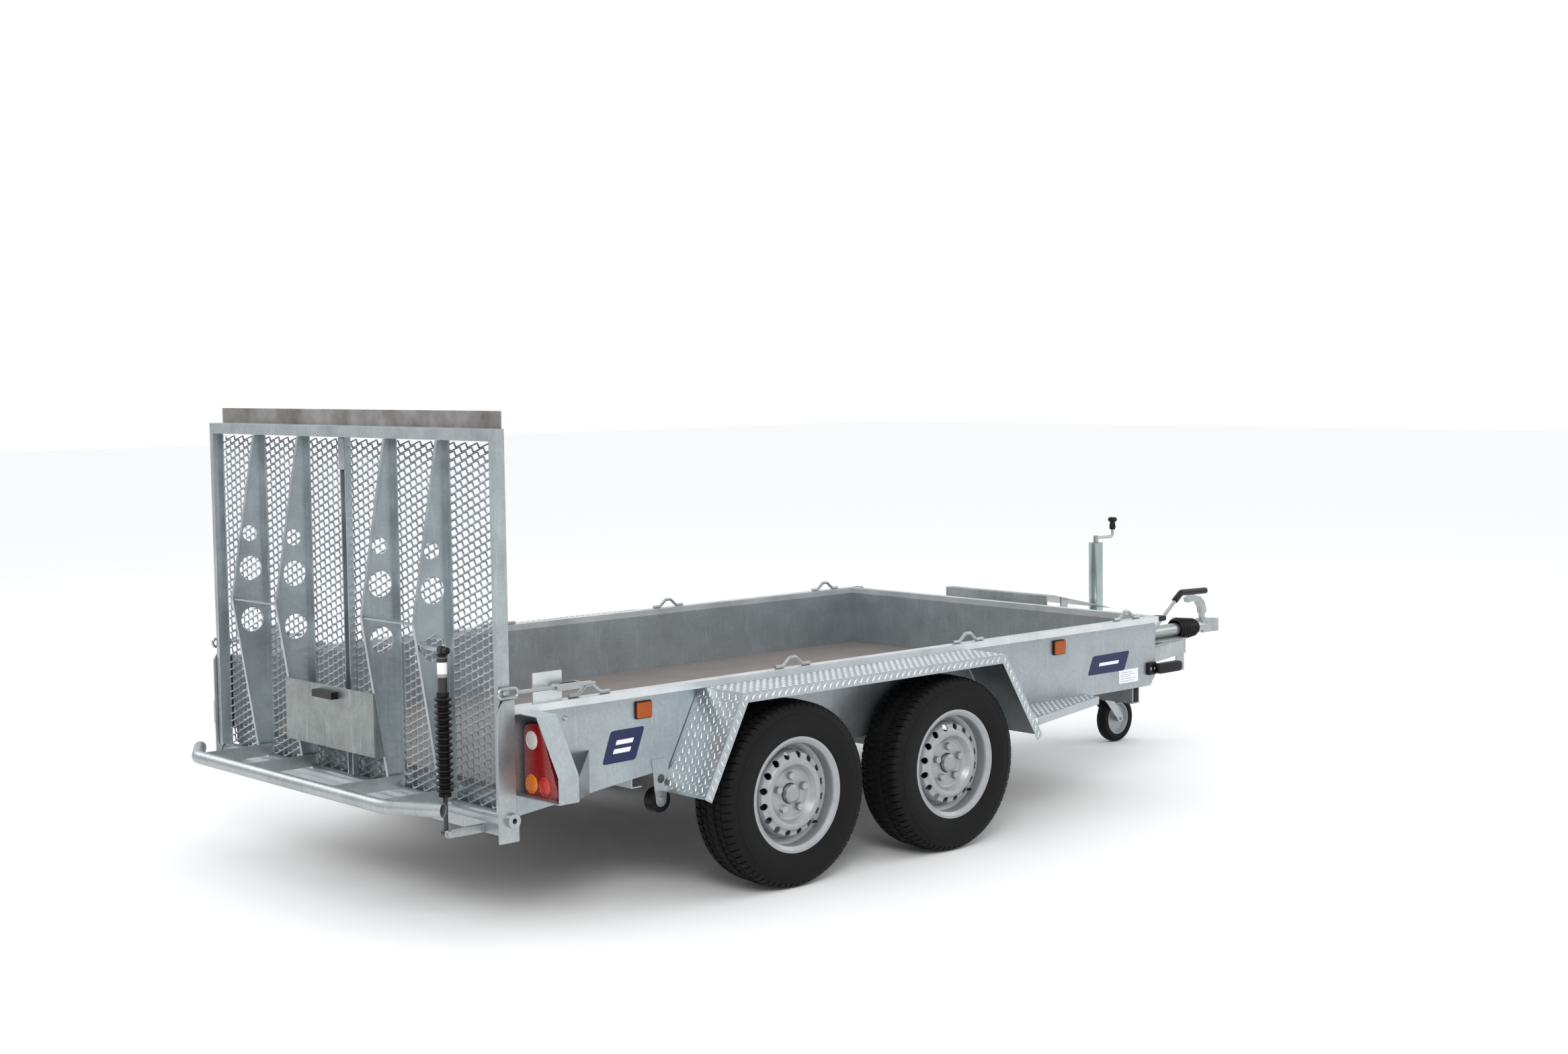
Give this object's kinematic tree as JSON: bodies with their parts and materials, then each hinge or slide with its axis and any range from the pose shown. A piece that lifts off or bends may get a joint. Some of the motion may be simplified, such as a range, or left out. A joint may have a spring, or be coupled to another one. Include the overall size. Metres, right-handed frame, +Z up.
{
  "type": "plant trailer",
  "caption": "Open galvanised tandem-axle plant trailer with low side panels, upright mesh loading ramp, mudguards, jockey wheel and overrun coupling",
  "frame": {"origin": "centre of the bounding box on the ground", "axes": "+X towards the coupling, +Y to the left, +Z up"},
  "size_m": [4.7649, 2.032, 1.508],
  "materials": {
    "galvanised_steel": "hot-dip galvanised, matt",
    "expanded_steel": "hot-dip galvanised",
    "zinc_plated_steel": "bright zinc",
    "plywood": "phenolic-faced plywood",
    "red_lens": "gloss",
    "amber_lens": "gloss",
    "clear_lens": "gloss",
    "black_rubber": "matt",
    "bellows_rubber": "matt",
    "black_plastic": "matt",
    "black_enamel": "satin",
    "cast_grey": "painted casting",
    "silver_paint": "satin silver",
    "tyre_rubber": "matt"
  },
  "bodies": {
    "chassis": {"side_panel_right": "galvanised_steel", "side_panel_left": "galvanised_steel", "front_wall": "galvanised_steel", "floor_board": "plywood", "chassis_frame": "galvanised_steel", "mudguards_and_steps": "galvanised_steel", "drawbar_frame": "galvanised_steel", "axle_tubes": "galvanised_steel", "tail_lamp_guards": "galvanised_steel", "tail_lamps_red": "red_lens", "amber_lenses": "amber_lens", "reversing_lenses": "clear_lens", "front_lamps_and_caps": "black_rubber", "lashing_hoops": "zinc_plated_steel", "roller_hangers": "galvanised_steel", "bucket_rest": "galvanised_steel", "jockey_outer_tube": "zinc_plated_steel", "overrun_housing": "cast_grey", "overrun_bellows": "bellows_rubber"},
    "ramp": {"ramp_frame": "galvanised_steel", "ramp_mesh": "expanded_steel", "ramp_ribs": "galvanised_steel", "ramp_centre_upright": "galvanised_steel", "ramp_bumper": "galvanised_steel", "number_plate_panel": "galvanised_steel", "number_plate_lamp": "black_plastic"},
    "strut_lower": {"strut_rod": "black_enamel", "strut_bellows": "bellows_rubber"},
    "strut_upper": {"strut_tube": "black_enamel"},
    "latch_lever_right": {"latch_lever_right": "zinc_plated_steel"},
    "latch_eye_right": {"latch_eye_right": "zinc_plated_steel"},
    "latch_lever_left": {"latch_lever_left": "zinc_plated_steel"},
    "latch_eye_left": {"latch_eye_left": "zinc_plated_steel"},
    "arm_rear_right": {"suspension_arm_rear_right": "galvanised_steel"},
    "wheel_rear_right": {"wheel_hub_rear_right": "cast_grey", "wheel_rim_rear_right": "silver_paint", "wheel_tyre_rear_right": "tyre_rubber"},
    "arm_rear_left": {"suspension_arm_rear_left": "galvanised_steel"},
    "wheel_rear_left": {"wheel_hub_rear_left": "cast_grey", "wheel_rim_rear_left": "silver_paint", "wheel_tyre_rear_left": "tyre_rubber"},
    "arm_front_right": {"suspension_arm_front_right": "galvanised_steel"},
    "wheel_front_right": {"wheel_hub_front_right": "cast_grey", "wheel_rim_front_right": "silver_paint", "wheel_tyre_front_right": "tyre_rubber"},
    "arm_front_left": {"suspension_arm_front_left": "galvanised_steel"},
    "wheel_front_left": {"wheel_hub_front_left": "cast_grey", "wheel_rim_front_left": "silver_paint", "wheel_tyre_front_left": "tyre_rubber"},
    "rollers": {"support_rollers": "black_rubber"},
    "jockey_slide": {"jockey_inner_tube": "zinc_plated_steel"},
    "jockey_swivel": {"jockey_fork": "zinc_plated_steel"},
    "jockey_wheel": {"jockey_wheel_rim": "zinc_plated_steel", "jockey_tyre": "black_rubber"},
    "jockey_crank": {"jockey_crank": "zinc_plated_steel", "jockey_crank_knob": "black_plastic"},
    "coupling": {"coupling_head": "cast_grey"},
    "coupling_handle": {"coupling_handle": "zinc_plated_steel"},
    "handbrake": {"handbrake_lever": "zinc_plated_steel", "handbrake_grip": "black_plastic"}
  },
  "joints": [
    {"name": "ramp_hinge", "type": "hinge", "parent": "chassis", "child": "ramp", "pos_m": [-2.1135, 0, 0.342], "axis": [0, -1, 0], "range_deg": [0, 107]},
    {"name": "strut_swing", "type": "hinge", "parent": "chassis", "child": "strut_lower", "pos_m": [-2.2085, -0.646, 0.29], "axis": [0, -1, 0], "range_deg": [0, 118.1]},
    {"name": "strut_slide", "type": "slide", "parent": "strut_lower", "child": "strut_upper", "axis": [0, 0, -1], "range_m": [0, 0.1515], "deforming": ["strut_bellows"]},
    {"name": "latch_lever_right_hinge", "type": "hinge", "parent": "chassis", "child": "latch_lever_right", "pos_m": [-1.9465, -0.845, 0.708], "axis": [0, -1, 0], "range_deg": [0, 140]},
    {"name": "latch_eye_right_hinge", "type": "hinge", "parent": "chassis", "child": "latch_eye_right", "pos_m": [-1.9465, -0.845, 0.708], "axis": [0, 1, 0], "range_deg": [0, 110]},
    {"name": "latch_lever_left_hinge", "type": "hinge", "parent": "chassis", "child": "latch_lever_left", "pos_m": [-1.9465, 0.845, 0.708], "axis": [0, -1, 0], "range_deg": [0, 140]},
    {"name": "latch_eye_left_hinge", "type": "hinge", "parent": "chassis", "child": "latch_eye_left", "pos_m": [-1.9465, 0.845, 0.708], "axis": [0, 1, 0], "range_deg": [0, 110]},
    {"name": "suspension_rear_right", "type": "hinge", "parent": "chassis", "child": "arm_rear_right", "pos_m": [-0.9765, -0.7875, 0.33], "axis": [0, 1, 0], "range_deg": [-10, 14], "stiffness_Nm_per_rad": 2000, "springref_deg": -5.73},
    {"name": "wheel_rear_right_spin", "type": "hinge", "parent": "arm_rear_right", "child": "wheel_rear_right", "pos_m": [-1.1365, -0.9, 0.294], "axis": [0, 1, 0], "continuous": true},
    {"name": "suspension_rear_left", "type": "hinge", "parent": "chassis", "child": "arm_rear_left", "pos_m": [-0.9765, 0.7875, 0.33], "axis": [0, 1, 0], "range_deg": [-10, 14], "stiffness_Nm_per_rad": 2000, "springref_deg": -5.73},
    {"name": "wheel_rear_left_spin", "type": "hinge", "parent": "arm_rear_left", "child": "wheel_rear_left", "pos_m": [-1.1365, 0.9, 0.294], "axis": [0, 1, 0], "continuous": true},
    {"name": "suspension_front_right", "type": "hinge", "parent": "chassis", "child": "arm_front_right", "pos_m": [-0.2605, -0.7875, 0.33], "axis": [0, 1, 0], "range_deg": [-10, 14], "stiffness_Nm_per_rad": 2000, "springref_deg": -5.73},
    {"name": "wheel_front_right_spin", "type": "hinge", "parent": "arm_front_right", "child": "wheel_front_right", "pos_m": [-0.4205, -0.9, 0.294], "axis": [0, 1, 0], "continuous": true},
    {"name": "suspension_front_left", "type": "hinge", "parent": "chassis", "child": "arm_front_left", "pos_m": [-0.2605, 0.7875, 0.33], "axis": [0, 1, 0], "range_deg": [-10, 14], "stiffness_Nm_per_rad": 2000, "springref_deg": -5.73},
    {"name": "wheel_front_left_spin", "type": "hinge", "parent": "arm_front_left", "child": "wheel_front_left", "pos_m": [-0.4205, 0.9, 0.294], "axis": [0, 1, 0], "continuous": true},
    {"name": "rollers_spin", "type": "hinge", "parent": "chassis", "child": "rollers", "pos_m": [-1.5365, 0, 0.31], "axis": [0, 1, 0], "continuous": true},
    {"name": "jockey_crank_spin", "type": "hinge", "parent": "chassis", "child": "jockey_crank", "pos_m": [1.4705, -0.046, 0.885], "axis": [0, 0, 1], "range_deg": [0, 4680]},
    {"name": "jockey_height", "type": "slide", "parent": "chassis", "child": "jockey_slide", "axis": [0, 0, 1], "range_m": [0, 0.1301]},
    {"name": "jockey_swivel_spin", "type": "hinge", "parent": "jockey_slide", "child": "jockey_swivel", "pos_m": [1.4705, -0.046, 0.213], "axis": [0, 0, 1], "continuous": true},
    {"name": "jockey_wheel_spin", "type": "hinge", "parent": "jockey_swivel", "child": "jockey_wheel", "pos_m": [1.5955, -0.046, 0.1], "axis": [0, 1, 0], "continuous": true},
    {"name": "overrun_slide", "type": "slide", "parent": "chassis", "child": "coupling", "axis": [-1, 0, 0], "range_m": [0, 0.08], "stiffness_N_per_m": 8000, "deforming": ["overrun_bellows"]},
    {"name": "coupling_handle_hinge", "type": "hinge", "parent": "coupling", "child": "coupling_handle", "pos_m": [2.2805, 0, 0.453], "axis": [0, 1, 0], "range_deg": [0, 35]},
    {"name": "handbrake_hinge", "type": "hinge", "parent": "chassis", "child": "handbrake", "pos_m": [1.8385, -0.048, 0.436], "axis": [0, -1, 0], "range_deg": [0, 45]}
  ],
  "couplings": [
    {"joint": "strut_swing", "follows": "ramp_hinge", "ratio": 1.1031},
    {"joint": "strut_slide", "follows": "ramp_hinge", "m_per_rad": 0.08086},
    {"joint": "jockey_height", "follows": "jockey_crank_spin", "m_per_rad": 0.0015915}
  ]
}
